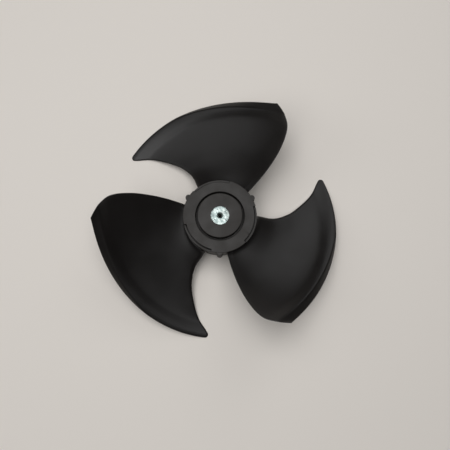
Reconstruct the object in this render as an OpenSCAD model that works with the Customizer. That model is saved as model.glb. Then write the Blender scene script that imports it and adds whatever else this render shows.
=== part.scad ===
// Axial fan for the outdoor unit of an air conditioner, seen from its front when laid on its horns.
// One moulding carries the hub and the sickle blades, and a plated steel bush is moulded into it.
// The origin is on the shaft's axis, where the shaft's shoulder seats in the bush, with +Z to the front.

/* [Overall] */
// Diameter swept by the blade tips
fan_d = 400; // [340:5:440]
// Number of blades, spaced evenly round the hub
blade_count = 3; // [2:1:3]
// How far the leading horns reach below the hub's ring face
horn_drop = 79; // [65:1:95]
// How far the trailing tips stand above the hub's ring face
tip_rise = 43.5; // [30:0.5:50]

/* [Blade] */
// Thickness of the blade at the hub, away from its edges
blade_t = 3.2; // [2.4:0.1:4]
// Thickness of the blade at its outer rim
rim_t = 2.2; // [1.6:0.1:3]
// Thickness of the trailing edge
trail_t = 1.4; // [1:0.1:2]
// Thickness that the leading edge has over the blade beside it, at the hub
lead_t = 4; // [1:0.5:6]
// Width of that thick leading edge
lead_w = 30; // [15:1:45]
// Length over which the leading edge is rounded, at the hub
nose_l = 9; // [5:0.5:12]
// Length over which the leading edge is rounded, at the horn
horn_nose_l = 3; // [2:0.5:5]
// Thickness that the blade gains where it grows out of the hub
root_t = 4; // [0:0.5:6]
// Distance from the hub over which that thickness fades
root_fade = 3; // [2:0.5:6]
// Angle round the hub where the trailing edge leaves it
trail_a = 41; // [35:1:48]
// Angle round the hub that the blade's root covers
root_wrap = 85; // [80:1:92]
// How far the trailing end of the root lies below the ring face
root_top = 7; // [7:0.5:14]
// How far the leading end of the root lies below the ring face
root_low = 36.5; // [28:0.5:40]
// Depth of the blade's hollow side as a share of its chord
camber = 0.06; // [0.03:0.005:0.09]
// Radius of the rounded horn
horn_r = 5; // [3:0.5:7]
// Width of the folded lip at the trailing tip
lip_w = 14; // [8:0.5:18]
// How far the fold sets back the trailing tip
lip_drop = 11.5; // [4:0.5:14]
// Width of the soft roll along the rest of the rim
roll_w = 22; // [14:1:30]
// How far the soft roll sets back the rim
roll_drop = 4; // [0:0.5:8]

/* [Hub] */
// Outer diameter of the hub
hub_d = 120; // [112:1:140]
// Height of the hub from its ring face to its rear rim
hub_h = 50; // [46:1:70]
// Thickness of the hub's side wall
wall_t = 3; // [2:0.1:4]
// Thickness of the front face
face_t = 4; // [3:0.1:5]
// Radius on the hub's front edges
edge_r = 1; // [0.4:0.1:1.4]
// Diameter of the raised middle of the hub
boss_d = 72; // [60:1:76]
// Height of the raised middle over the ring face
boss_rise = 5.5; // [2:0.5:8]
// Width of the groove round the raised middle
groove_w = 3.7; // [2:0.1:5]
// Depth of that groove below the ring face
groove_h = 14; // [8:0.5:18]
// Diameter of the tube that holds the bush
tube_d = 34; // [32:0.5:40]
// Number of ribs inside the hub
rib_count = 6; // [3:1:9]
// Thickness of a rib
rib_t = 2.5; // [1.5:0.1:3.5]

/* [Rim slots] */
// Width of the slot that takes a balance clip
slot_w = 2; // [1.2:0.1:2.6]
// Depth of the slot
slot_h = 12; // [8:0.5:16]
// Thickness of the band outside the slot
band_t = 2.5; // [2:0.1:3.5]
// How far the band's top lies below the ring face
band_drop = 6; // [2:0.5:8]
// Angle that a slot covers
slot_wrap = 62; // [40:1:70]
// Angle from a blade's trailing root to the middle of its slot
slot_lag = 64; // [50:1:70]
// Width of the notch at each end of the band
notch_w = 1.8; // [1:0.1:3]

/* [Side lobes] */
// Radius of a lobe
lobe_r = 5; // [3:0.5:6]
// How far a lobe stands out of the hub
lobe_out = 4.2; // [2:0.2:5]
// How far the lobe's top lies below the ring face
lobe_dip = 0.5; // [0.2:0.1:2]
// How far the lobe ends above the hub's rear rim
lobe_lift = 2; // [0.5:0.5:20]
// Angle from a blade's trailing root back to its lobe
lobe_lead = 11.5; // [10:0.5:16]
// Diameter of the small pit in the first lobe
pit_d = 2.4; // [1.5:0.1:3]
// Depth of that pit
pit_h = 1.2; // [0.5:0.1:2]

/* [Bush] */
// Diameter of the motor shaft that the bush takes
shaft_d = 8; // [6:0.5:12]
// Distance from the axis to the flat of the shaft
flat_x = 3; // [2.2:0.1:3.4]
// Length of the shaft bore
bore_l = 32; // [22:1:36]
// Length of the flatted part of the bore, from the shaft's shoulder
key_l = 12; // [8:1:16]
// Width of the relief groove where the flat ends
relief_w = 1.5; // [1:0.1:2.5]
// Diameter of the hole for the shaft's threaded end
stud_d = 6.5; // [4.5:0.1:7]
// Diameter of the countersink round that hole
sink_d = 10.5; // [8:0.1:12]
// Thickness of the bush's web between the shaft's shoulder and the nut
web_t = 6; // [5:0.5:8]
// Diameter of the bush's front disc
disc_d = 30; // [26:0.5:32]
// Thickness of the front disc
disc_t = 4; // [3:0.5:5]
// Diameter of the bush's body
body_d = 22; // [20:0.5:25]
// Distance across the flats that key the body in the moulding
body_flats = 19; // [18:0.5:20]
// How far the front disc lies below the raised middle
seat_h = 2; // [0.5:0.5:3]

/* [Hidden] */
$fn = 96;

tip_r = fan_d / 2;
hub_r = hub_d / 2;
bore_r = shaft_d / 2;
seat_z = web_t;
boss_z = seat_z + seat_h;
ring_z = boss_z - boss_rise;
rear_z = ring_z - hub_h;
groove_r = boss_d / 2 + groove_w;
slot_r = hub_r - band_t - slot_w;
over = 1;           // how far a cut runs past the face that it opens
mouth_c = 0.8;      // chamfer at the mouth of the shaft bore
relief_h = 0.4;     // depth of the relief groove
mark_h = 0.3;       // depth of the mould's dial marks
mark_r = 3.2;       // radius of a dial mark
mark_w = 0.5;       // width of a dial mark's line
mark_at = 28;       // distance of the dial marks from the axis

// Each row: share of the span, trailing angle from its root, share of the trailing rise,
// leading angle from the trailing root, share of the leading drop.
stations = [
    [0.0,  0.0, 0.00,  85.0, 0.00],
    [0.2,  1.5, 0.24,  81.3, 0.31],
    [0.4,  3.6, 0.44,  84.6, 0.54],
    [0.6,  6.4, 0.69,  90.8, 0.77],
    [0.8, 10.8, 0.93,  97.0, 0.96],
    [0.9, 16.0, 1.00, 101.2, 0.99],
    [1.0, 21.7, 1.00, 104.4, 1.00],
];
span = tip_r - hub_r;
columns = 24;       // steps along the chord, up to the rounded nose
nose_steps = [0.55, 0.2, 0];    // further columns, as shares of the nose's length
root_rows = [0.5, 2.5, 6];      // rows near the hub, as distances from its side
inner_rows = 10;    // steps from there to the soft roll, closer together outwards
roll_rows = 4;      // steps across the soft roll, up to the fold
lip_rows = 4;       // steps from the fold to the rim
bow_skew = 0.8;     // brings the deepest part of the hollow towards the trailing edge
lip_end = 0.65;     // share of the chord at which the fold has run out to the rim
least_lip = 4;      // width of the last rows where the fold has run out
nose_t = 0.3;       // share of the thickness left at the very edge

// Smooth curve through column k of the stations, at share x of the span
function slope(k, i) =
    let (a = max(i - 1, 0), b = min(i + 1, len(stations) - 1))
    (stations[b][k] - stations[a][k]) / (stations[b][0] - stations[a][0]);
function curve(k, x, i = 0) =
    i < len(stations) - 2 && x > stations[i + 1][0] ? curve(k, x, i + 1) :
    let (
        h = stations[i + 1][0] - stations[i][0],
        u = (x - stations[i][0]) / h,
        p = stations[i][k],
        q = stations[i + 1][k],
        m = h * slope(k, i),
        n = h * slope(k, i + 1)
    )
    p + u * (m + u * (3 * (q - p) - 2 * m - n + u * (2 * (p - q) + m + n)));

function share(r) = (r - hub_r) / span;
function trail_at(r) = trail_a + curve(1, share(r));

// The horn is an arc that meets the rim and the leading edge smoothly
horn_lean = atan(tip_r * (curve(3, 1) - curve(3, 0.95)) * PI / 180 / (0.05 * span));
horn_end = horn_r * (1 + sin(horn_lean));
horn_back = horn_r * (tan(horn_lean) + 1 / cos(horn_lean));
function lead_at(r) =
    let (d = tip_r - r, root = root_wrap - stations[0][3])
    trail_a + (d >= horn_end ? curve(3, share(r)) + root * (1 - share(r)) :
        curve(3, 1) + (sqrt(horn_r ^ 2 - (horn_r - d) ^ 2) - horn_back) / tip_r * 180 / PI);
function chord(r) = (lead_at(r) - trail_at(r)) * PI / 180 * r;

function bow(s) = let (p = s ^ bow_skew) 4 * p * (1 - p);
function fold_w(s) = lip_w * max(0, 1 - (s / lip_end) ^ 2);
function set_back(s, d) =
    lip_drop / lip_w * max(0, fold_w(s) - d) + roll_drop * sin(180 * s ^ 0.7) * max(0, 1 - d / roll_w) ^ 2;

// Point of the blade's middle surface at share s of the chord and radius r
function middle(s, r) =
    let (
        x = share(r),
        a = trail_at(r) + s * (lead_at(r) - trail_at(r)),
        top = curve(2, x) * (tip_rise + root_top) - root_top,
        low = -root_low - curve(4, x) * (horn_drop - root_low),
        z = ring_z + top + s * (low - top) - camber * chord(r) * bow(s) - set_back(s, tip_r - r)
    )
    [r * cos(a), r * sin(a), z];
function thick(s, r) =
    let (
        x = share(r),
        e = (1 - s) * chord(r),
        plain = blade_t + (rim_t - blade_t) * x + root_t * exp(-max(0, r - hub_r) / root_fade),
        lead = lead_t * (1 - x) * exp(-(e / lead_w) ^ 2),
        tail = min(1, trail_t / plain + s * 8),
        nose = nose_l + (horn_nose_l - nose_l) * x,
        round = sqrt(max(0, 1 - max(0, 1 - e / nose) ^ 2))
    )
    (plain + lead) * tail * max(nose_t, round);
function normal_at(s, r) =
    let (
        h = 0.002,
        along = middle(min(1, s + h), r) - middle(max(0, s - h), r),
        out = middle(s, min(tip_r, r + h * span)) - middle(s, r - h * span),
        n = cross(out, along)
    )
    n / norm(n);

function share_of_column(i, r) =
    let (nose = (nose_l + (horn_nose_l - nose_l) * share(r)) / chord(r))
    i <= columns ? i / columns * (1 - nose) : 1 - nose * nose_steps[i - columns - 1];
function radius_of_row(j, s) =
    let (
        foot = hub_r + root_rows[len(root_rows) - 1],
        inner = tip_r - roll_w,
        fold = tip_r - max(fold_w(s), least_lip),
        k = j - len(root_rows),
        m = k - inner_rows
    )
    j == 0 ? hub_r - wall_t / 2 :
    k <= 0 ? hub_r + root_rows[j - 1] :
    m <= 0 ? foot + (k / inner_rows) ^ 0.8 * (inner - foot) :
    m <= roll_rows ? inner + m / roll_rows * (fold - inner) :
    fold + (m - roll_rows) / lip_rows * (tip_r - fold);

module blade() {
    across = columns + len(nose_steps);
    rows = len(root_rows) + inner_rows + roll_rows + lip_rows;
    n = across + 1;
    points = [for (side = [0.5, -0.5], j = [0 : rows], i = [0 : across])
        let (r = radius_of_row(j, i / columns), s = share_of_column(i, r))
        middle(s, r) + side * thick(s, r) * normal_at(s, r)];
    under = n * (rows + 1);
    top = [for (j = [0 : rows - 1], i = [0 : across - 1], k = [0, 1])
        let (a = j * n + i) k == 0 ? [a, a + 1, a + n] : [a + 1, a + n + 1, a + n]];
    edge = concat(
        [for (i = [0 : across]) i],
        [for (j = [1 : rows]) j * n + across],
        [for (i = [1 : across]) rows * n + across - i],
        [for (j = [1 : rows - 1]) (rows - j) * n]);
    side = [for (i = [0 : len(edge) - 1], k = [0, 1])
        let (a = edge[i], b = edge[(i + 1) % len(edge)])
        k == 0 ? [a, a + under, b] : [b, a + under, b + under]];
    polyhedron(concat(points), concat(top, [for (f = top) [f[0] + under, f[2] + under, f[1] + under]], side));
}

// Quarter round from angle a to angle b, about a centre in the half section
function round_edge(c, a, b, r = edge_r) = [for (i = [0 : 4]) c + r * [cos(a + (b - a) * i / 4), sin(a + (b - a) * i / 4)]];

module hub_shell() {
    groove_z = ring_z - groove_h;
    boss_r = boss_d / 2;
    rotate_extrude() polygon(concat(
        [[0, boss_z]],
        round_edge([boss_r - edge_r, boss_z - edge_r], 90, 0),
        [[boss_r, groove_z], [groove_r, groove_z]],
        round_edge([groove_r + edge_r, ring_z - edge_r], 180, 90),
        round_edge([hub_r - edge_r, ring_z - edge_r], 90, 0),
        [[hub_r, rear_z], [hub_r - wall_t, rear_z], [hub_r - wall_t, ring_z - face_t]],
        [[groove_r + wall_t, ring_z - face_t], [groove_r + wall_t, groove_z - wall_t]],
        [[boss_r - wall_t, groove_z - wall_t], [boss_r - wall_t, boss_z - face_t]],
        [[tube_d / 2, boss_z - face_t], [tube_d / 2, -bore_l], [0, -bore_l]]));
}

// Part of a ring between two radii and two heights, about the middle of a blade's slot
module arc_bar(r1, r2, z1, z2, wrap) {
    rotate([0, 0, trail_a + slot_lag - wrap / 2]) rotate_extrude(angle = wrap)
        translate([r1, z1]) square([r2 - r1, z2 - z1]);
}

module ribs() {
    for (i = [0 : rib_count - 1]) rotate([0, 0, i * 360 / rib_count])
        translate([tube_d / 2 - over, -rib_t / 2, -bore_l])
            cube([hub_r - wall_t / 2 - tube_d / 2 + over, rib_t, ring_z - face_t / 2 + bore_l]);
}

// Balance slot, with the band outside it set down and notched at both ends, just past the slot's ends
module rim_cut() {
    notch_a = notch_w / slot_r * 180 / PI;
    top = ring_z + over;
    arc_bar(slot_r, slot_r + slot_w, ring_z - slot_h, top, slot_wrap);
    arc_bar(slot_r + slot_w / 2, hub_r + over, ring_z - band_drop, top, slot_wrap - notch_a);
    for (end = [-1, 1]) rotate([0, 0, end * (slot_wrap / 2 - notch_a / 4)])
        arc_bar(slot_r + slot_w / 3, hub_r + 2 * over, ring_z - band_drop - notch_w, top, notch_a);
}

module around() {
    for (i = [0 : blade_count - 1]) rotate([0, 0, i * 360 / blade_count]) children();
}

module dial_mark(a) {
    rotate([0, 0, a]) translate([mark_at, 0, boss_z - mark_h]) {
        difference() {
            cylinder(r = mark_r, h = mark_h + over);
            translate([0, 0, -over]) cylinder(r = mark_r - mark_w, h = mark_h + 3 * over);
        }
        translate([-mark_r, -mark_w / 2, 0]) cube([2 * mark_r, mark_w, mark_h + over]);
    }
}

module impeller() color("#2c2927") {
    lobe_at = hub_r + lobe_out - lobe_r;
    difference() {
        union() {
            hub_shell();
            ribs();
            around() {
                blade();
                arc_bar(slot_r - wall_t, hub_r - wall_t / 2, ring_z - slot_h - wall_t, ring_z - face_t / 2,
                    slot_wrap + 6);
                rotate([0, 0, trail_a - lobe_lead]) translate([lobe_at, 0, rear_z + lobe_lift])
                    cylinder(r = lobe_r, h = hub_h - lobe_lift - lobe_dip);
            }
        }
        around() rim_cut();
        bush_form(over);
        for (a = [75, 133]) dial_mark(a);
        rotate([0, 0, trail_a - lobe_lead]) translate([lobe_at, 0, ring_z - lobe_dip - pit_h])
            cylinder(d = pit_d, h = pit_h + lobe_dip + over);
    }
}

// Outer form of the bush, with its disc carried on upwards where the moulding is cut for it
module bush_form(up = 0) {
    translate([0, 0, seat_z - disc_t]) cylinder(d = disc_d, h = disc_t + up * (seat_h + over));
    intersection() {
        translate([0, 0, -bore_l - up * over]) cylinder(d = body_d, h = bore_l + web_t - disc_t / 2 + up * over);
        translate([0, 0, -bore_l / 2]) cube([body_d + over, body_flats, 2 * bore_l + 4 * web_t], center = true);
    }
}

module shaft_bush() color("#b9c3c1") {
    sink_h = (sink_d - stud_d) / 2;
    difference() {
        bush_form();
        difference() {
            translate([0, 0, -bore_l - over]) cylinder(r = bore_r, h = bore_l + over);
            translate([flat_x, -shaft_d, -key_l]) cube([shaft_d, 2 * shaft_d, key_l + over]);
        }
        translate([0, 0, -key_l - relief_w]) cylinder(r = bore_r + relief_h, h = relief_w);
        cylinder(d = stud_d, h = web_t + over);
        translate([0, 0, seat_z - sink_h]) cylinder(d1 = stud_d, d2 = sink_d + 2 * over, h = sink_h + over);
        translate([0, 0, -bore_l - over]) cylinder(r1 = bore_r + mouth_c + over, r2 = bore_r, h = mouth_c + over);
    }
}

impeller();
shaft_bush();
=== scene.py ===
import math

import bmesh
import bpy
from mathutils import Matrix, Vector


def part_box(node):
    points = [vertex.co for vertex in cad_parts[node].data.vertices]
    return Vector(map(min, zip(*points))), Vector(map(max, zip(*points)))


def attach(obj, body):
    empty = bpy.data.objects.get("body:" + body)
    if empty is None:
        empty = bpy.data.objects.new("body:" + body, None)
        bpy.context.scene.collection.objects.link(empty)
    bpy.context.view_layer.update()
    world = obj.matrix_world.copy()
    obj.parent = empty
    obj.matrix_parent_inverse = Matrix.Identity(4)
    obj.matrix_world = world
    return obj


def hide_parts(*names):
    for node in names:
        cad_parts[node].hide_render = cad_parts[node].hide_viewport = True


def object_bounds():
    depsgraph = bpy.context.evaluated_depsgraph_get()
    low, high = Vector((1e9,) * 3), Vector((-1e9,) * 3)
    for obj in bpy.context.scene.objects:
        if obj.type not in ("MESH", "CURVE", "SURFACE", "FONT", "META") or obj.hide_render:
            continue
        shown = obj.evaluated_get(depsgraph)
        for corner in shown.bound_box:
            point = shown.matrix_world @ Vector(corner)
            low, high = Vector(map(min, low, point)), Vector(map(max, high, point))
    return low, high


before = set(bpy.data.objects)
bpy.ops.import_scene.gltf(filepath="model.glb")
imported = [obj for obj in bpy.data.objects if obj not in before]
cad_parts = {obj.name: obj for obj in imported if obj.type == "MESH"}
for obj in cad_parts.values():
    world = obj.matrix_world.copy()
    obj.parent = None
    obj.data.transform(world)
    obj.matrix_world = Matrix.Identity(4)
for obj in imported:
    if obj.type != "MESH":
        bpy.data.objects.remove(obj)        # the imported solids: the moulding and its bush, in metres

solidBounds = [list(corner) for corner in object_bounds()]
floorHeight = solidBounds[0][2]
print("frame loaded, floor at", round(floorHeight * 1000, 1), "mm")


def linear(hexColour):       # sRGB hex to the linear colour that a shader takes
    shares = [int(hexColour[i:i + 2], 16) / 255 for i in (1, 3, 5)]
    return [c / 12.92 if c <= 0.04045 else ((c + 0.055) / 1.055) ** 2.4 for c in shares] + [1.0]


def addNode(tree, kind, inputs=(), **settings):      # inputs in socket order, or by name; None leaves one alone
    node = tree.nodes.new(kind)
    for name, value in settings.items():
        setattr(node, name, value)
    sockets = [s for s in node.inputs if s.enabled]
    named = {s.name: s for s in sockets}
    pairs = [(named[k], v) for k, v in inputs.items()] if isinstance(inputs, dict) else zip(sockets, inputs)
    for socket, value in pairs:
        if isinstance(value, bpy.types.Node):
            value = next(s for s in value.outputs if s.enabled)
        if isinstance(value, bpy.types.NodeSocket):
            tree.links.new(value, socket)
        elif value is not None:
            socket.default_value = value
    return node


def newTree(name, inputs, outputs):      # an empty node tree with named sockets, given as (name, kind)
    tree = bpy.data.node_groups.new(name, "GeometryNodeTree")
    for direction, sockets in (("INPUT", inputs), ("OUTPUT", outputs)):
        for label, kind in sockets:
            tree.interface.new_socket(label, in_out=direction, socket_type="NodeSocket" + kind)
    return tree, tree.nodes.new("NodeGroupInput").outputs


def meshFrom(name, base, tree, values):      # runs a tree on a base mesh and keeps the result as a plain mesh
    holder = bpy.data.objects.new(name, base)
    bpy.context.scene.collection.objects.link(holder)
    modifier = holder.modifiers.new(tree.name, "NODES")
    modifier.node_group = tree
    for item in tree.interface.items_tree:
        if item.in_out == "INPUT" and item.name in values:
            modifier[item.identifier] = values[item.name]
    made = bpy.data.meshes.new_from_object(holder.evaluated_get(bpy.context.evaluated_depsgraph_get()))
    bpy.data.objects.remove(holder)
    made.name = name
    return made


def objectOf(mesh):
    thing = bpy.data.objects.new(mesh.name, mesh)
    bpy.context.scene.collection.objects.link(thing)
    return thing


def applied(thing):          # the object's mesh with its modifiers applied; the object goes
    mesh = bpy.data.meshes.new_from_object(thing.evaluated_get(bpy.context.evaluated_depsgraph_get()))
    mesh.name = thing.name
    bpy.data.objects.remove(thing)
    return mesh


def lathe(name, outline, steps, centre=(0, 0)):      # turns a closed outline of (radius, height) in mm about Z
    form = bmesh.new()
    rings = []
    for r, z in outline:
        turns = [0] if r == 0 else [i * 2 * math.pi / steps for i in range(steps)]
        rings.append([form.verts.new(((centre[0] + r * math.cos(t)) / 1000,
                                      (centre[1] + r * math.sin(t)) / 1000, z / 1000)) for t in turns])
    for a, b in zip(rings, rings[1:] + rings[:1]):
        if len(a) == 1 and len(b) == 1:
            continue
        for i in range(steps):
            corners = [a[i % len(a)], b[i % len(b)], b[(i + 1) % len(b)], a[(i + 1) % len(a)]]
            form.faces.new(list(dict.fromkeys(corners)))
    bmesh.ops.recalc_face_normals(form, faces=form.faces)
    mesh = bpy.data.meshes.new(name)
    form.to_mesh(mesh)
    form.free()
    return mesh


def block(name, low, high, turn=0):      # a box between two corners in mm, turned about the axis
    form = bmesh.new()
    bmesh.ops.create_cube(form, size=1)
    size = [(b - a) / 1000 for a, b in zip(low, high)]
    middle = Vector([(a + b) / 2000 for a, b in zip(low, high)])
    bmesh.ops.transform(form, verts=form.verts, matrix=Matrix.Rotation(math.radians(turn), 4, "Z")
                        @ Matrix.Translation(middle) @ Matrix.Diagonal((*size, 1)))
    mesh = bpy.data.meshes.new(name)
    form.to_mesh(mesh)
    form.free()
    return mesh


def arcBar(name, r1, r2, z1, z2, middle, wrap, steps=48):        # part of a ring, sizes in mm and degrees
    form = bmesh.new()
    rows = []
    for i in range(steps + 1):
        a = math.radians(middle + wrap * (i / steps - 0.5))
        rows.append([form.verts.new((r * math.cos(a) / 1000, r * math.sin(a) / 1000, z / 1000))
                     for r, z in ((r1, z1), (r2, z1), (r2, z2), (r1, z2))])
    for a, b in zip(rows, rows[1:]):
        for k in range(4):
            form.faces.new((a[k], b[k], b[(k + 1) % 4], a[(k + 1) % 4]))
    form.faces.new(rows[0])
    form.faces.new(rows[-1])
    bmesh.ops.recalc_face_normals(form, faces=form.faces)
    mesh = bpy.data.meshes.new(name)
    form.to_mesh(mesh)
    form.free()
    return mesh


# The blade: every number is a size of the real moulding, in millimetres and degrees
blade = {
    "tipRadius": 200, "hubRadius": 60, "ringHeight": 2.5,
    "trailAngle": 41,            # where the trailing edge leaves the hub
    "trailTip": 43.5, "trailRoot": -7,       # heights of the trailing edge over the hub's ring face
    "leadTip": -79, "leadRoot": -36.5,       # heights of the leading edge
    "camber": 0.06, "camberSkew": 0.8,       # depth of the hollow side as a share of the chord
    "lipWidth": 14, "lipDrop": 11.5, "lipEnd": 0.65, "lipSoft": 0.5,     # fold at the trailing tip
    "rollWidth": 22, "rollDrop": 4,          # soft roll along the rest of the rim
    "hornRadius": 5,
    "plate": 3.2, "rimPlate": 2.2, "trailPlate": 1.4,        # thicknesses
    "leadPlate": 4, "leadWidth": 30,         # the leading edge is thicker near the hub
    "nose": 9, "hornNose": 3, "noseShare": 0.3,      # rounding of the leading edge
    "rootPlate": 4, "rootFade": 3,           # fillet where the blade grows out of the hub
    "edgeRound": 0.6,
}
bladeGrid = {"columns": 110, "rows": 100, "layers": 5, "innerRadius": 58.4, "count": 3}

# Share of the span, trailing angle and rise, leading angle and drop, the angles in degrees from the trailing root
stations = [
    (0.0, 0.0, 0.00, 85.0, 0.00),
    (0.2, 1.5, 0.24, 81.3, 0.31),
    (0.4, 3.6, 0.44, 84.6, 0.54),
    (0.6, 6.4, 0.69, 90.8, 0.77),
    (0.8, 10.8, 0.93, 97.0, 0.96),
    (0.9, 16.0, 1.00, 101.2, 0.99),
    (1.0, 21.7, 1.00, 104.4, 1.00),
]


def alongSpan(column, x):        # smooth curve through one column of the stations
    last = len(stations) - 1
    i = next((k for k in range(last) if x <= stations[k + 1][0]), last - 1)
    here, there = stations[i], stations[i + 1]
    step = there[0] - here[0]
    slopes = []
    for k in (i, i + 1):
        a, b = stations[max(k - 1, 0)], stations[min(k + 1, last)]
        slopes.append(step * (b[column] - a[column]) / (b[0] - a[0]))
    u = (x - here[0]) / step
    p, q = here[column], there[column]
    m, n = slopes
    return p + u * (m + u * (3 * (q - p) - 2 * m - n + u * (2 * (p - q) + m + n)))


def addSpanCurve(tree, column, x):       # a Float Curve node that holds that curve
    node = addNode(tree, "ShaderNodeFloatCurve", [1.0, x])
    node.mapping.use_clip = False
    curve, steps = node.mapping.curves[0], 28
    curve.points[0].location = (0, alongSpan(column, 0))
    curve.points[1].location = (1, alongSpan(column, 1))
    for k in range(1, steps):
        curve.points.new(k / steps, alongSpan(column, k / steps))
    node.mapping.update()
    return node


def makeBladeTree():
    sizes = [(name, "Float") for name in blade]

    # Trailing and leading angle and the chord at one radius, with the horn as an arc of its own
    edges, given = newTree("bladeEdges", [("radius", "Float"), *sizes],
                           [("trail", "Float"), ("lead", "Float"), ("chord", "Float"), ("across", "Float")])
    lean = math.atan(blade["tipRadius"] * math.radians(alongSpan(3, 1) - alongSpan(3, 0.95))
                     / (0.05 * (blade["tipRadius"] - blade["hubRadius"])))
    across = addNode(edges, "ShaderNodeMapRange",
                     [given["radius"], given["hubRadius"], given["tipRadius"], 0.0, 1.0], clamp=False)
    trail = addNode(edges, "ShaderNodeMath", [addSpanCurve(edges, 1, across), given["trailAngle"]])
    plainLead = addNode(edges, "ShaderNodeMath", [addSpanCurve(edges, 3, across), given["trailAngle"]])
    rimGap = addNode(edges, "ShaderNodeMath", [given["tipRadius"], given["radius"]], operation="SUBTRACT")
    inward = addNode(edges, "ShaderNodeMath", [given["hornRadius"], rimGap], operation="SUBTRACT")
    inward = addNode(edges, "ShaderNodeMath", [inward, 2.0], operation="POWER")
    whole = addNode(edges, "ShaderNodeMath", [given["hornRadius"], 2.0], operation="POWER")
    rest = addNode(edges, "ShaderNodeMath", [whole, inward], operation="SUBTRACT")
    rest = addNode(edges, "ShaderNodeMath", [rest, 0.0], operation="MAXIMUM")
    arc = addNode(edges, "ShaderNodeMath", [rest], operation="SQRT")
    backShare = math.tan(lean) + 1 / math.cos(lean)
    arc = addNode(edges, "ShaderNodeMath", [given["hornRadius"], -backShare, arc], operation="MULTIPLY_ADD")
    arc = addNode(edges, "ShaderNodeMath", [arc, given["tipRadius"]], operation="DIVIDE")
    arc = addNode(edges, "ShaderNodeMath", [arc], operation="DEGREES")
    arc = addNode(edges, "ShaderNodeMath", [arc, alongSpan(3, 1)])
    arc = addNode(edges, "ShaderNodeMath", [arc, given["trailAngle"]])
    hornEnd = addNode(edges, "ShaderNodeMath", [given["hornRadius"], 1 + math.sin(lean)], operation="MULTIPLY")
    past = addNode(edges, "ShaderNodeMath", [rimGap, hornEnd], operation="GREATER_THAN")
    lead = addNode(edges, "ShaderNodeMix", [past, arc, plainLead])
    wrap = addNode(edges, "ShaderNodeMath", [lead, trail], operation="SUBTRACT")
    wrap = addNode(edges, "ShaderNodeMath", [wrap], operation="RADIANS")
    chord = addNode(edges, "ShaderNodeMath", [wrap, given["radius"]], operation="MULTIPLY")
    addNode(edges, "NodeGroupOutput", [trail, lead, chord, across])

    # A point of the middle surface at a share of the chord and a radius
    surface, given = newTree("bladeSurface", [("share", "Float"), ("radius", "Float"), *sizes],
                             [("point", "Vector"), ("height", "Float")])
    share, radius = given["share"], given["radius"]
    ends = addNode(surface, "GeometryNodeGroup", node_tree=edges)
    surface.links.new(radius, ends.inputs["radius"])
    for name in blade:
        surface.links.new(given[name], ends.inputs[name])
    across, chord = ends.outputs["across"], ends.outputs["chord"]
    angle = addNode(surface, "ShaderNodeMix", [share, ends.outputs["trail"], ends.outputs["lead"]],
                    clamp_factor=False)
    angle = addNode(surface, "ShaderNodeMath", [angle], operation="RADIANS")
    top = addNode(surface, "ShaderNodeMix",
                  [addSpanCurve(surface, 2, across), given["trailRoot"], given["trailTip"]], clamp_factor=False)
    low = addNode(surface, "ShaderNodeMix",
                  [addSpanCurve(surface, 4, across), given["leadRoot"], given["leadTip"]], clamp_factor=False)
    flat = addNode(surface, "ShaderNodeMix", [share, top, low], clamp_factor=False)
    skewed = addNode(surface, "ShaderNodeMath", [share, given["camberSkew"]], operation="POWER")
    spare = addNode(surface, "ShaderNodeMath", [1.0, skewed], operation="SUBTRACT")
    bow = addNode(surface, "ShaderNodeMath", [skewed, spare], operation="MULTIPLY")
    deep = addNode(surface, "ShaderNodeMath", [chord, given["camber"]], operation="MULTIPLY")
    deep = addNode(surface, "ShaderNodeMath", [deep, 4.0], operation="MULTIPLY")
    hollow = addNode(surface, "ShaderNodeMath", [bow, deep], operation="MULTIPLY")
    rimGap = addNode(surface, "ShaderNodeMath", [given["tipRadius"], radius], operation="SUBTRACT")
    foldShare = addNode(surface, "ShaderNodeMath", [share, given["lipEnd"]], operation="DIVIDE")
    foldShare = addNode(surface, "ShaderNodeMath", [foldShare, 2.0], operation="POWER")
    foldShare = addNode(surface, "ShaderNodeMath", [1.0, foldShare], operation="SUBTRACT")
    foldShare = addNode(surface, "ShaderNodeMath", [foldShare, 0.0], operation="MAXIMUM")
    foldWidth = addNode(surface, "ShaderNodeMath", [foldShare, given["lipWidth"]], operation="MULTIPLY")
    pastFold = addNode(surface, "ShaderNodeMath", [foldWidth, rimGap], operation="SUBTRACT")
    pastFold = addNode(surface, "ShaderNodeMath", [pastFold, 0.0, given["lipSoft"]], operation="SMOOTH_MAX")
    lipSlope = addNode(surface, "ShaderNodeMath", [given["lipDrop"], given["lipWidth"]], operation="DIVIDE")
    lip = addNode(surface, "ShaderNodeMath", [pastFold, lipSlope], operation="MULTIPLY")
    swell = addNode(surface, "ShaderNodeMath", [share, 0.7], operation="POWER")
    swell = addNode(surface, "ShaderNodeMath", [swell, math.pi], operation="MULTIPLY")
    swell = addNode(surface, "ShaderNodeMath", [swell], operation="SINE")
    rollShare = addNode(surface, "ShaderNodeMath", [rimGap, given["rollWidth"]], operation="DIVIDE")
    rollShare = addNode(surface, "ShaderNodeMath", [1.0, rollShare], operation="SUBTRACT")
    rollShare = addNode(surface, "ShaderNodeMath", [rollShare, 0.0], operation="MAXIMUM")
    rollShare = addNode(surface, "ShaderNodeMath", [rollShare, 2.0], operation="POWER")
    roll = addNode(surface, "ShaderNodeMath", [swell, rollShare], operation="MULTIPLY")
    roll = addNode(surface, "ShaderNodeMath", [roll, given["rollDrop"]], operation="MULTIPLY")
    height = addNode(surface, "ShaderNodeMath", [flat, given["ringHeight"]])
    for part in (hollow, lip, roll):
        height = addNode(surface, "ShaderNodeMath", [height, part], operation="SUBTRACT")
    east = addNode(surface, "ShaderNodeMath", [angle], operation="COSINE")
    east = addNode(surface, "ShaderNodeMath", [east, radius], operation="MULTIPLY")
    north = addNode(surface, "ShaderNodeMath", [angle], operation="SINE")
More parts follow.
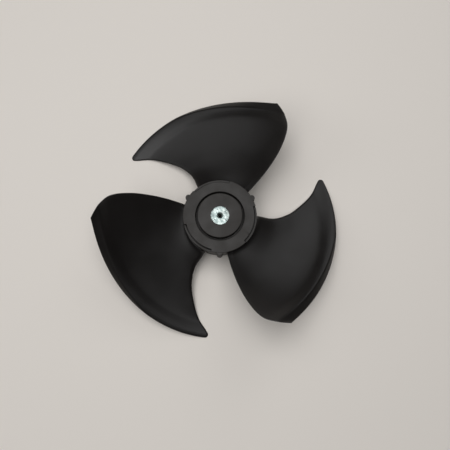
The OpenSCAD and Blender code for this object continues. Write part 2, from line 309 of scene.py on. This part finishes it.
    north = addNode(surface, "ShaderNodeMath", [north, radius], operation="MULTIPLY")
    point = addNode(surface, "ShaderNodeCombineXYZ", [east, north, height])
    addNode(surface, "NodeGroupOutput", [point, height])

    # The closed skin: a flat box of vertices laid on both sides of the middle surface
    tree, given = newTree("sickleBlade", [("Geometry", "Geometry"), ("columns", "Int"), ("rows", "Int"),
                                          ("layers", "Int"), ("innerRadius", "Float"), *sizes,
                                          ("finish", "Material")], [("Geometry", "Geometry")])
    skin = addNode(tree, "GeometryNodeMeshCube",
                   [(1.0, 1.0, 1.0), given["columns"], given["rows"], given["layers"]])
    spot = addNode(tree, "ShaderNodeSeparateXYZ", [addNode(tree, "GeometryNodeInputPosition")])
    sideTurn = addNode(tree, "ShaderNodeMath", [spot.outputs["Z"], math.pi], operation="MULTIPLY")
    side = addNode(tree, "ShaderNodeMath", [sideTurn], operation="SINE")     # 1 on the front, -1 on the back
    inset = addNode(tree, "ShaderNodeMath", [sideTurn], operation="COSINE")
    inset = addNode(tree, "ShaderNodeMath", [1.0, inset], operation="SUBTRACT")
    inset = addNode(tree, "ShaderNodeMath", [inset, given["edgeRound"]], operation="MULTIPLY")
    outer = addNode(tree, "ShaderNodeMath", [given["tipRadius"], inset], operation="SUBTRACT")
    radius = addNode(tree, "ShaderNodeMapRange", [spot.outputs["Y"], -0.5, 0.5, given["innerRadius"], outer],
                     interpolation_type="SMOOTHSTEP")
    ends = addNode(tree, "GeometryNodeGroup", node_tree=edges)
    tree.links.new(radius.outputs[0], ends.inputs["radius"])
    for name in blade:
        tree.links.new(given[name], ends.inputs[name])
    across, chord = ends.outputs["across"], ends.outputs["chord"]
    margin = addNode(tree, "ShaderNodeMath", [inset, chord], operation="DIVIDE")
    leadMargin = addNode(tree, "ShaderNodeMath", [1.0, margin], operation="SUBTRACT")
    share = addNode(tree, "ShaderNodeMapRange", [spot.outputs["X"], -0.5, 0.5, margin, leadMargin],
                    interpolation_type="SMOOTHSTEP")

    # Points just before and after on both ways of the surface give its normal
    points = {}
    small = 0.002
    stepOut = addNode(tree, "ShaderNodeMath", [given["tipRadius"], small], operation="MULTIPLY")
    moved = {
        "here": (share, radius),
        "back": (addNode(tree, "ShaderNodeMath", [share, small], operation="SUBTRACT"), radius),
        "ahead": (addNode(tree, "ShaderNodeMath", [share, small]), radius),
        "inward": (share, addNode(tree, "ShaderNodeMath", [radius, stepOut], operation="SUBTRACT")),
        "outward": (share, radius),
    }
    for name, (where, far) in moved.items():
        points[name] = addNode(tree, "GeometryNodeGroup", node_tree=surface)
        clamped = addNode(tree, "ShaderNodeClamp", [where, 0.0, 1.0])
        tree.links.new(clamped.outputs[0], points[name].inputs["share"])
        tree.links.new(far.outputs[0], points[name].inputs["radius"])
        for size in blade:
            tree.links.new(given[size], points[name].inputs[size])
    along = addNode(tree, "ShaderNodeVectorMath", [points["ahead"], points["back"]], operation="SUBTRACT")
    out = addNode(tree, "ShaderNodeVectorMath", [points["outward"], points["inward"]], operation="SUBTRACT")
    normal = addNode(tree, "ShaderNodeVectorMath", [out, along], operation="CROSS_PRODUCT")
    normal = addNode(tree, "ShaderNodeVectorMath", [normal], operation="NORMALIZE")

    # Thickness: thin trailing edge, thick rounded leading edge and a fillet at the hub
    plain = addNode(tree, "ShaderNodeMix", [across, given["plate"], given["rimPlate"]])
    fromHub = addNode(tree, "ShaderNodeMath", [given["hubRadius"], radius], operation="SUBTRACT")
    fromHub = addNode(tree, "ShaderNodeMath", [fromHub, 0.0], operation="MINIMUM")
    fillet = addNode(tree, "ShaderNodeMath", [fromHub, given["rootFade"]], operation="DIVIDE")
    fillet = addNode(tree, "ShaderNodeMath", [fillet], operation="EXPONENT")
    plain = addNode(tree, "ShaderNodeMath", [fillet, given["rootPlate"], plain], operation="MULTIPLY_ADD")
    spare = addNode(tree, "ShaderNodeMath", [1.0, share], operation="SUBTRACT")
    toLead = addNode(tree, "ShaderNodeMath", [spare, chord], operation="MULTIPLY")
    thickLead = addNode(tree, "ShaderNodeMath", [toLead, given["leadWidth"]], operation="DIVIDE")
    thickLead = addNode(tree, "ShaderNodeMath", [thickLead, 2.0], operation="POWER")
    thickLead = addNode(tree, "ShaderNodeMath", [thickLead, -1.0], operation="MULTIPLY")
    thickLead = addNode(tree, "ShaderNodeMath", [thickLead], operation="EXPONENT")
    thickLead = addNode(tree, "ShaderNodeMath", [thickLead, given["leadPlate"]], operation="MULTIPLY")
    fade = addNode(tree, "ShaderNodeMath", [1.0, across], operation="SUBTRACT")
    plate = addNode(tree, "ShaderNodeMath", [thickLead, fade, plain], operation="MULTIPLY_ADD")
    tail = addNode(tree, "ShaderNodeMath", [given["trailPlate"], plain], operation="DIVIDE")
    tail = addNode(tree, "ShaderNodeMath", [share, 8.0, tail], operation="MULTIPLY_ADD")
    tail = addNode(tree, "ShaderNodeMath", [tail, 1.0], operation="MINIMUM")
    noseLength = addNode(tree, "ShaderNodeMix", [across, given["nose"], given["hornNose"]])
    noseGap = addNode(tree, "ShaderNodeMath", [toLead, noseLength], operation="DIVIDE")
    noseGap = addNode(tree, "ShaderNodeMath", [1.0, noseGap], operation="SUBTRACT")
    noseGap = addNode(tree, "ShaderNodeMath", [noseGap, 0.0], operation="MAXIMUM")
    noseGap = addNode(tree, "ShaderNodeMath", [noseGap, 2.0], operation="POWER")
    rounded = addNode(tree, "ShaderNodeMath", [1.0, noseGap], operation="SUBTRACT")
    rounded = addNode(tree, "ShaderNodeMath", [rounded, 0.0], operation="MAXIMUM")
    rounded = addNode(tree, "ShaderNodeMath", [rounded], operation="SQRT")
    rounded = addNode(tree, "ShaderNodeMath", [rounded, given["noseShare"]], operation="MAXIMUM")
    plate = addNode(tree, "ShaderNodeMath", [plate, tail], operation="MULTIPLY")
    plate = addNode(tree, "ShaderNodeMath", [plate, rounded], operation="MULTIPLY")
    half = addNode(tree, "ShaderNodeMath", [plate, 0.5], operation="MULTIPLY")
    reach = addNode(tree, "ShaderNodeMath", [half, side], operation="MULTIPLY")
    offset = addNode(tree, "ShaderNodeVectorMath", {"Vector": normal, "Scale": reach}, operation="SCALE")
    place = addNode(tree, "ShaderNodeVectorMath", [points["here"], offset])
    place = addNode(tree, "ShaderNodeVectorMath", {"Vector": place, "Scale": 0.001}, operation="SCALE")
    laid = addNode(tree, "GeometryNodeSetPosition", [skin, None, place])
    outside = addNode(tree, "GeometryNodeFlipFaces", [laid])
    finished = addNode(tree, "GeometryNodeSetMaterial",
                       [addNode(tree, "GeometryNodeRealizeInstances", [outside]), None, given["finish"]])
    addNode(tree, "NodeGroupOutput", [finished])
    return tree


def makeRingTree():          # copies an item evenly round the axis
    tree, given = newTree("roundTheAxis", [("Geometry", "Geometry"), ("count", "Int"), ("firstAngle", "Float"),
                                           ("finish", "Material")], [("Geometry", "Geometry")])
    spots = addNode(tree, "GeometryNodePoints", [given["count"]])
    step = addNode(tree, "ShaderNodeMath", [360.0, given["count"]], operation="DIVIDE")
    turn = addNode(tree, "ShaderNodeMath",
                   [addNode(tree, "GeometryNodeInputIndex"), step, given["firstAngle"]],
                   operation="MULTIPLY_ADD")
    turn = addNode(tree, "ShaderNodeMath", [turn], operation="RADIANS")
    turns = addNode(tree, "ShaderNodeCombineXYZ", [0.0, 0.0, turn])
    copies = addNode(tree, "GeometryNodeInstanceOnPoints",
                     {"Points": spots, "Instance": given["Geometry"], "Rotation": turns})
    real = addNode(tree, "GeometryNodeRealizeInstances", [copies])
    addNode(tree, "NodeGroupOutput", [addNode(tree, "GeometryNodeSetMaterial", [real, None, given["finish"]])])
    return tree


ringTree = makeRingTree()
bladeTree = makeBladeTree()
print("node trees built")


# Finishes, each named for its stuff and how its surface was made
def newFinish(name):
    finish = bpy.data.materials.new(name)
    finish.use_nodes = True
    tree = finish.node_tree
    spot = addNode(tree, "ShaderNodeTexCoord").outputs["Object"]
    return finish, tree, tree.nodes["Principled BSDF"], spot


def perMetre(size):          # texture scale for a pattern of this size in mm
    return 1000 / size


satin = {"deep": "#100e0d", "pale": "#151211", "cloudSize": 60, "grainSize": 1.4, "smooth": 0.34, "rough": 0.42}


def makeSatinResin():        # glass-filled polypropylene off a finely blasted mould: near black with a soft wide sheen
    finish, tree, shader, spot = newFinish("glass filled polypropylene, satin moulded")
    cloud = addNode(tree, "ShaderNodeTexNoise", {"Vector": spot, "Scale": perMetre(satin["cloudSize"]), "Detail": 3.0})
    tone = addNode(tree, "ShaderNodeMix", [cloud, linear(satin["deep"]), linear(satin["pale"])], data_type="RGBA")
    grain = addNode(tree, "ShaderNodeTexNoise", {"Vector": spot, "Scale": perMetre(satin["grainSize"]), "Detail": 4.0})
    gloss = addNode(tree, "ShaderNodeMapRange", [cloud, 0.3, 0.7, satin["smooth"], satin["rough"]])
    bump = addNode(tree, "ShaderNodeBump", {"Height": grain, "Strength": 0.12, "Distance": 0.0002})
    tree.links.new(tone.outputs["Result"], shader.inputs["Base Color"])
    tree.links.new(gloss.outputs[0], shader.inputs["Roughness"])
    tree.links.new(bump.outputs[0], shader.inputs["Normal"])
    shader.inputs["IOR"].default_value = 1.49
    return finish


spark = {"deep": "#24211f", "pale": "#2c2926", "cloudSize": 24, "grainSize": 0.9, "smooth": 0.55, "rough": 0.7}


def makeSparkResin():        # the same resin off a spark-eroded mould face: rougher, so it looks greyer than the blades
    finish, tree, shader, spot = newFinish("glass filled polypropylene, spark textured")
    cloud = addNode(tree, "ShaderNodeTexNoise", {"Vector": spot, "Scale": perMetre(spark["cloudSize"]), "Detail": 4.0})
    tone = addNode(tree, "ShaderNodeMix", [cloud, linear(spark["deep"]), linear(spark["pale"])], data_type="RGBA")
    grain = addNode(tree, "ShaderNodeTexNoise", {"Vector": spot, "Scale": perMetre(spark["grainSize"]), "Detail": 5.0})
    gloss = addNode(tree, "ShaderNodeMapRange", [cloud, 0.3, 0.7, spark["smooth"], spark["rough"]])
    bump = addNode(tree, "ShaderNodeBump", {"Height": grain, "Strength": 0.25, "Distance": 0.0002})
    tree.links.new(tone.outputs["Result"], shader.inputs["Base Color"])
    tree.links.new(gloss.outputs[0], shader.inputs["Roughness"])
    tree.links.new(bump.outputs[0], shader.inputs["Normal"])
    shader.inputs["IOR"].default_value = 1.49
    return finish


zinc = {"deep": "#748180", "pale": "#adb6b3", "spangle": 2.6, "smooth": 0.28, "rough": 0.5}


def makeZinc():              # hot-dip zinc on steel: frozen crystals a few millimetres wide, each with its own grey
    finish, tree, shader, spot = newFinish("zinc plated steel, spangled")
    bend = addNode(tree, "ShaderNodeTexNoise", {"Vector": spot, "Scale": perMetre(3.0), "Detail": 3.0})
    bent = addNode(tree, "ShaderNodeVectorMath", [bend.outputs["Color"], (0.0015, 0.0015, 0.0015), spot],
                   operation="MULTIPLY_ADD")
    crystal = addNode(tree, "ShaderNodeTexVoronoi", {"Vector": bent, "Scale": perMetre(zinc["spangle"])})
    lot = addNode(tree, "ShaderNodeSeparateColor", [crystal.outputs["Color"]])
    tone = addNode(tree, "ShaderNodeMix", [lot.outputs[0], linear(zinc["deep"]), linear(zinc["pale"])],
                   data_type="RGBA")
    gloss = addNode(tree, "ShaderNodeMapRange", [lot.outputs[1], 0.0, 1.0, zinc["smooth"], zinc["rough"]])
    tree.links.new(tone.outputs["Result"], shader.inputs["Base Color"])
    tree.links.new(gloss.outputs[0], shader.inputs["Roughness"])
    shader.inputs["Metallic"].default_value = 1.0
    return finish


satinResin = makeSatinResin()
sparkResin = makeSparkResin()
zincPlate = makeZinc()
print("finishes made")


def combine(body, tool, operation):      # joins or cuts a body with another mesh; both go into the new object
    other = objectOf(tool)
    modifier = body.modifiers.new(tool.name, "BOOLEAN")
    modifier.operation, modifier.solver, modifier.object = operation, "MANIFOLD", other
    modifier.material_mode = "TRANSFER"
    made = objectOf(applied(body))
    bpy.data.objects.remove(other)
    return made


def softened(body, width, limit=40):     # a small moulded or turned radius on every sharp edge
    bevel = body.modifiers.new("radius", "BEVEL")
    bevel.width, bevel.segments, bevel.limit_method = width / 1000, 2, "ANGLE"
    bevel.angle_limit = math.radians(limit)
    return objectOf(applied(body))


def aroundAxis(name, item, count, firstAngle, finish):
    return meshFrom(name, item, ringTree, {"count": count, "firstAngle": float(firstAngle), "finish": finish})


# The hub: an open-backed cup with a raised middle, a deep groove, ribs and a tube for the bush
hub = {"radius": 60, "height": 50, "wall": 3, "face": 4, "edge": 1, "bossRadius": 36, "bossRise": 5.5,
       "grooveWidth": 3.7, "grooveDepth": 14, "tubeRadius": 17, "tubeLength": 32, "ribs": 6, "rib": 2.5,
       "steps": 192, "moulded": 0.3}
slots = {"width": 2, "depth": 12, "band": 2.5, "bandDrop": 6, "wrap": 62, "lag": 64, "notch": 1.8}
lobes = {"radius": 5, "out": 4.2, "dip": 0.5, "lift": 2, "lead": 11.5, "pitRadius": 1.2, "pitDepth": 1.2}
dials = {"radius": 28, "size": 3.2, "line": 0.5, "depth": 0.3, "angles": (75, 133)}
ringTop = blade["ringHeight"]
bossTop = ringTop + hub["bossRise"]
hubRear = ringTop - hub["height"]


def arcPoints(centre, radius, start, end, steps=5):      # points of a rounded edge in the half section
    turns = [math.radians(start + (end - start) * i / steps) for i in range(steps + 1)]
    return [(centre[0] + radius * math.cos(t), centre[1] + radius * math.sin(t)) for t in turns]


def hubOutline():
    edge, wall, face = hub["edge"], hub["wall"], hub["face"]
    boss, outer = hub["bossRadius"], hub["radius"]
    groove, floor = boss + hub["grooveWidth"], ringTop - hub["grooveDepth"]
    return [(0, bossTop), *arcPoints((boss - edge, bossTop - edge), edge, 90, 0),
            (boss, floor), (groove, floor),
            *arcPoints((groove + edge, ringTop - edge), edge, 180, 90),
            *arcPoints((outer - edge, ringTop - edge), edge, 90, 0),
            (outer, hubRear), (outer - wall, hubRear), (outer - wall, ringTop - face),
            (groove + wall, ringTop - face), (groove + wall, floor - wall), (boss - wall, floor - wall),
            (boss - wall, bossTop - face), (hub["tubeRadius"], bossTop - face),
            (hub["tubeRadius"], -hub["tubeLength"]), (0, -hub["tubeLength"])]


def makeHub():
    body = objectOf(lathe("hub", hubOutline(), hub["steps"]))
    body.data.materials.append(sparkResin)
    groove = (hub["bossRadius"], hub["bossRadius"] + hub["grooveWidth"])
    grooveFloor = ringTop - hub["grooveDepth"]
    slotRadius = hub["radius"] - slots["band"] - slots["width"]
    rib = block("rib", (hub["tubeRadius"] - 1, -hub["rib"] / 2, -hub["tubeLength"]),
                (hub["radius"] - hub["wall"] / 2, hub["rib"] / 2, ringTop - hub["face"] / 2))
    body = combine(body, aroundAxis("ribs", rib, hub["ribs"], 0, sparkResin), "UNION")
    middle = blade["trailAngle"] + slots["lag"]
    pocket = arcBar("pocket", slotRadius - hub["wall"], hub["radius"] - hub["wall"] / 2,
                    ringTop - slots["depth"] - hub["wall"], ringTop - hub["face"] / 2, 0, slots["wrap"] + 6)
    body = combine(body, aroundAxis("pockets", pocket, bladeGrid["count"], middle, sparkResin), "UNION")
    lobeRadius = hub["radius"] + lobes["out"] - lobes["radius"]
    top, soft = ringTop - lobes["dip"], 0.6
    lobeOutline = [(0, hubRear + lobes["lift"]), (lobes["radius"], hubRear + lobes["lift"]),
                   *arcPoints((lobes["radius"] - soft, top - soft), soft, 0, 90), (0, top)]
    lobe = lathe("lobe", lobeOutline, 48, centre=(lobeRadius, 0))
    firstLobe = blade["trailAngle"] - lobes["lead"]
    body = combine(body, aroundAxis("lobes", lobe, bladeGrid["count"], firstLobe, sparkResin), "UNION")

    # The ribs stop under the groove
    ring = lathe("groove", [(groove[0], grooveFloor), (groove[1], grooveFloor), (groove[1], ringTop + 0.1),
                            (groove[0], ringTop + 0.1)], hub["steps"])
    body = combine(body, ring, "DIFFERENCE")

    # Balance-clip slots behind the rim, with the band outside them set down and notched at its ends
    notchWrap = math.degrees(slots["notch"] / slotRadius)
    over = 1
    slot = arcBar("slot", slotRadius, slotRadius + slots["width"], ringTop - slots["depth"], ringTop + over,
                  0, slots["wrap"])
    body = combine(body, aroundAxis("slots", slot, bladeGrid["count"], middle, sparkResin), "DIFFERENCE")
    band = arcBar("band", slotRadius + slots["width"] / 2, hub["radius"] + over, ringTop - slots["bandDrop"],
                  ringTop + over, 0, slots["wrap"] - notchWrap)
    body = combine(body, aroundAxis("bands", band, bladeGrid["count"], middle, sparkResin), "DIFFERENCE")
    for end in (-1, 1):
        notch = arcBar("notch", slotRadius + slots["width"] / 3, hub["radius"] + 2 * over,
                       ringTop - slots["bandDrop"] - slots["notch"], ringTop + over,
                       end * (slots["wrap"] / 2 - notchWrap / 4), notchWrap, steps=4)
        body = combine(body, aroundAxis("notches", notch, bladeGrid["count"], middle, sparkResin), "DIFFERENCE")
    return body


def cutDials(body):          # two shallow mould dials in the raised middle: a ring with a plain bar
    for angle in dials["angles"]:
        turn = math.radians(angle)
        centre = (dials["radius"] * math.cos(turn), dials["radius"] * math.sin(turn))
        low, high = bossTop - dials["depth"], bossTop + 1
        ring = lathe("dial", [(dials["size"] - dials["line"], low), (dials["size"], low),
                              (dials["size"], high), (dials["size"] - dials["line"], high)], 48, centre)
        body = combine(body, ring, "DIFFERENCE")
        bar = block("bar", (dials["radius"] - dials["size"] + 0.1, -dials["line"] / 2, low),
                    (dials["radius"] + dials["size"] - 0.1, dials["line"] / 2, high), angle)
        body = combine(body, bar, "DIFFERENCE")
    return body


# The bush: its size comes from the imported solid
bushLow, bushHigh = [[v * 1000 for v in corner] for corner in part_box("shaft_bush")]
bush = {"disc": bushHigh[0], "discPlate": 4, "body": 11, "flats": 19, "bore": 4, "flat": 3, "keyLength": 12,
        "relief": 0.4, "reliefWidth": 1.5, "stud": 3.25, "sink": 5.25, "mouth": 0.8, "turned": 0.35, "steps": 96}


def bushForm(reach):         # its outer form, drawn on upwards and downwards by reach where the moulding is cut for it
    top, rear = bushHigh[2], bushLow[2]
    step = top - bush["discPlate"]
    outline = [(0, top + reach), (bush["disc"], top + reach), (bush["disc"], step), (bush["body"], step),
               (bush["body"], rear - reach), (0, rear - reach)]
    form = objectOf(lathe("bushForm", outline, bush["steps"]))
    for side in (-1, 1):
        reachOut = bush["body"] + 1
        flat = block("flat", (-reachOut, min(side * bush["flats"] / 2, side * reachOut), rear - reach - 1),
                     (reachOut, max(side * bush["flats"] / 2, side * reachOut), step), 0)
        form = combine(form, flat, "DIFFERENCE")
    return form


def makeBush():
    top, rear = bushHigh[2], bushLow[2]
    body = softened(bushForm(0), bush["turned"])
    r, key, relief = bush["bore"], -bush["keyLength"], bush["relief"]
    hole = [(0, top + 1), (bush["sink"] + 1, top + 1), (bush["sink"], top),
            (bush["stud"], top - bush["sink"] + bush["stud"]), (bush["stud"], 0), (r, 0), (r, key),
            (r + relief, key), (r + relief, key - bush["reliefWidth"]), (r, key - bush["reliefWidth"]),
            (r, rear + bush["mouth"]), (r + bush["mouth"] + 1, rear - 1), (0, rear - 1)]
    cutter = objectOf(lathe("hole", hole, bush["steps"]))
    cutter = combine(cutter, block("key", (bush["flat"], -r, key), (2 * r, r, -0.001)), "DIFFERENCE")
    body = combine(body, applied(cutter), "DIFFERENCE")
    body.name = body.data.name = "plated_bush"
    body.data.materials.clear()
    body.data.materials.append(zincPlate)
    return body


hubBody = softened(makeHub(), hub["moulded"])
hubBody = cutDials(hubBody)
hubBody = combine(hubBody, applied(bushForm(3)), "DIFFERENCE")
print("hub made:", len(hubBody.data.polygons), "faces")
sizes = {name: float(value) for name, value in blade.items()}
blade1 = meshFrom("blade", bpy.data.meshes.new("empty"), bladeTree,
                  {**sizes, **{k: bladeGrid[k] for k in ("columns", "rows", "layers")},
                   "innerRadius": bladeGrid["innerRadius"], "finish": satinResin})
moulding = combine(hubBody, aroundAxis("blades", blade1, bladeGrid["count"], 0, satinResin), "UNION")
moulding.name = moulding.data.name = "fan_moulding"
print("moulding made:", len(moulding.data.polygons), "faces")
for face in moulding.data.polygons:
    face.material_index = max(face.material_index, 0)        # faces left by a cut belong to the hub
plated = makeBush()

for piece, node, slotName in ((moulding, "impeller", "black_plastic"), (plated, "shaft_bush", "plated_steel")):
    piece.data.shade_smooth()
    piece.data.set_sharp_from_angle(angle=math.radians(32))
    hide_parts(node)
    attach(piece, "root")
print("pieces placed")


# Camera, from the photograph: a 450 pixel square, looking down with a slight lean
view = {"focal": 483.8, "frame": 450, "tilt": 8.62, "roll": 1.60, "distance": 781.1,
        "hubX": 219.95, "hubY": 215.71}      # focal length and the hub's middle in pixels, distance in mm


def placeCamera():
    tilt, roll, half = math.radians(view["tilt"]), math.radians(view["roll"]), view["frame"] / 2
    # the fan's three axes as the camera sees them: x right, y down, z away
    up = Vector((math.sin(tilt) * math.sin(roll), -math.sin(tilt) * math.cos(roll), -math.cos(tilt)))
    east = (Vector((1, 0, 0)) - up * up.x).normalized()
    north = up.cross(east)
    sight = Vector(((view["hubX"] - half) / view["focal"], (view["hubY"] - half) / view["focal"], 1))
    hubSeen = sight * view["distance"] / 1000
    place = -Vector((east.dot(hubSeen), north.dot(hubSeen), up.dot(hubSeen)))
    place.z += ringTop / 1000
    lens = bpy.data.cameras.new("camera")
    lens.lens = lens.sensor_width * view["focal"] / view["frame"]
    camera = bpy.data.objects.new("camera", lens)
    axes = Matrix((east, north, up))         # columns are the camera's right, down and away
    turned = Matrix([(row[0], -row[1], -row[2]) for row in axes])
    camera.matrix_world = Matrix.Translation(place) @ turned.to_4x4()
    bpy.context.scene.collection.objects.link(camera)
    bpy.context.scene.camera = camera


placeCamera()

# Pale floor and soft studio light
studio = {"floor": "#ece6df", "floorSize": 6.0, "sky": "#ffffff", "skyStrength": 0.02}
lamps = {         # azimuth and elevation seen from the fan in degrees, distance and width in metres, brightness
    "top": (90, 84, 2.4, 1.8, 3.1),
    "west": (180, 38, 2.6, 1.2, 1.0),
    "north": (60, 38, 2.6, 1.3, 1.2),
    "northWest": (135, 62, 2.6, 1.2, 1.6),
    "southWest": (225, 62, 2.6, 1.2, 2.0),
}


def makeStudio():
    half = studio["floorSize"] / 2
    mesh = bpy.data.meshes.new("floor")
    mesh.from_pydata([(x * half, y * half, floorHeight) for x, y in ((-1, -1), (1, -1), (1, 1), (-1, 1))], [],
                     [(0, 1, 2, 3)])
    floor = objectOf(mesh)
    paper, tree, shader, spot = newFinish("matt backdrop paper")
    shader.inputs["Base Color"].default_value = linear(studio["floor"])
    shader.inputs["Roughness"].default_value = 0.9
    mesh.materials.append(paper)
    world = bpy.data.worlds.new("studio")
    world.use_nodes = True
    sky = world.node_tree.nodes["Background"]
    sky.inputs["Color"].default_value = linear(studio["sky"])
    sky.inputs["Strength"].default_value = studio["skyStrength"]
    bpy.context.scene.world = world
    for name, (azimuth, elevation, distance, width, glow) in lamps.items():
        light = bpy.data.lights.new(name, "AREA")
        light.size, light.energy = width, glow * math.pi * width ** 2
        turn, lift = math.radians(azimuth), math.radians(elevation)
        place = Vector((math.cos(turn) * math.cos(lift), math.sin(turn) * math.cos(lift), math.sin(lift)))
        lamp = bpy.data.objects.new(name, light)
        lamp.location = place * distance
        lamp.rotation_euler = (-place).to_track_quat("-Z", "Y").to_euler()
        bpy.context.scene.collection.objects.link(lamp)


makeStudio()
bpy.context.scene.view_settings.view_transform = "Standard"
